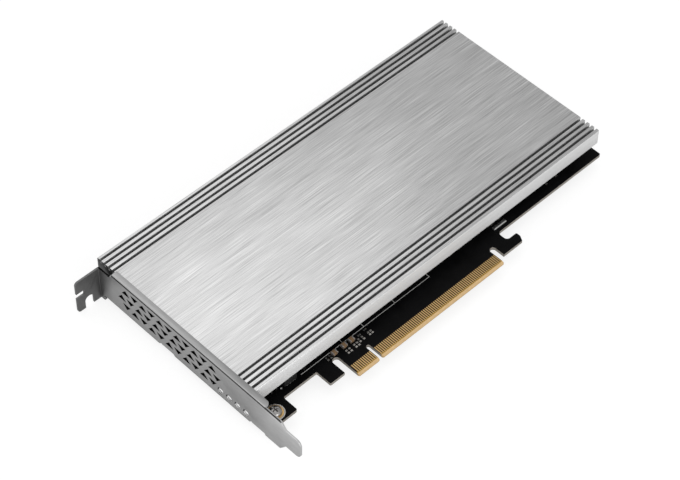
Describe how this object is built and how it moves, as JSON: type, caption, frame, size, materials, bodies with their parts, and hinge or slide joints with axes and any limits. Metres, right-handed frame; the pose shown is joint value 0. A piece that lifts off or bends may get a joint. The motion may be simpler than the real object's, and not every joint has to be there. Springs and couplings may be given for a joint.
{
  "type": "drive adapter card",
  "caption": "Expansion card that carries solid-state drives under one brushed aluminium cover, with an edge connector and a vented bracket.",
  "frame": {"origin": "nose line of the edge connector, at the middle of its key notch, at half the board's thickness", "axes": "+X along the card from the bracket to the tail, +Y from the edge contacts to the board's far edge, +Z through the board towards the cover"},
  "size_m": [0.2175, 0.1237, 0.0213],
  "materials": {
    "cover_aluminium": "brushed along its length, clear satin",
    "bracket_steel": "plated sheet steel, satin",
    "board_laminate": "black solder resist over glass laminate",
    "contact_gold": "gold plated, satin",
    "screw_steel": "nickel plated",
    "spacer_metal": "turned",
    "standoff_brass": "turned",
    "socket_plastic": "moulded, black",
    "solder_tin": "tinned",
    "thermal_pad": "soft silicone, dull",
    "chip_epoxy": "moulded epoxy",
    "inductor_body": "pressed iron powder",
    "capacitor_body": "moulded",
    "ceramic_body": "fired ceramic with tinned ends",
    "crystal_lid": "plated lid",
    "light_lens": "clear epoxy over white"
  },
  "bodies": {
    "root": {"circuit_board": "board_laminate", "edge_contacts_front": "contact_gold", "edge_contacts_back": "contact_gold", "io_bracket": "bracket_steel", "heatsink_cover": "cover_aluminium", "mounting_rings": "contact_gold", "bracket_screws": "screw_steel", "cover_spacers": "spacer_metal", "cover_screws": "screw_steel", "drive_standoffs": "standoff_brass", "drive_screws": "screw_steel", "switch_chip": "chip_epoxy", "chip_thermal_pad": "thermal_pad", "power_inductors": "inductor_body", "regulator_chips": "chip_epoxy", "bulk_capacitors": "capacitor_body", "ceramic_capacitors": "ceramic_body", "coupling_capacitors": "ceramic_body", "flash_chip": "chip_epoxy", "clock_chip": "chip_epoxy", "crystal": "crystal_lid", "edge_filter": "crystal_lid", "status_lights": "light_lens", "m2_socket_1": "socket_plastic", "m2_contacts_1": "solder_tin", "drive_thermal_pad_1": "thermal_pad", "m2_socket_2": "socket_plastic", "m2_contacts_2": "solder_tin", "drive_thermal_pad_2": "thermal_pad", "m2_socket_3": "socket_plastic", "m2_contacts_3": "solder_tin", "drive_thermal_pad_3": "thermal_pad", "m2_socket_4": "socket_plastic", "m2_contacts_4": "solder_tin", "drive_thermal_pad_4": "thermal_pad"}
  },
  "joints": []
}
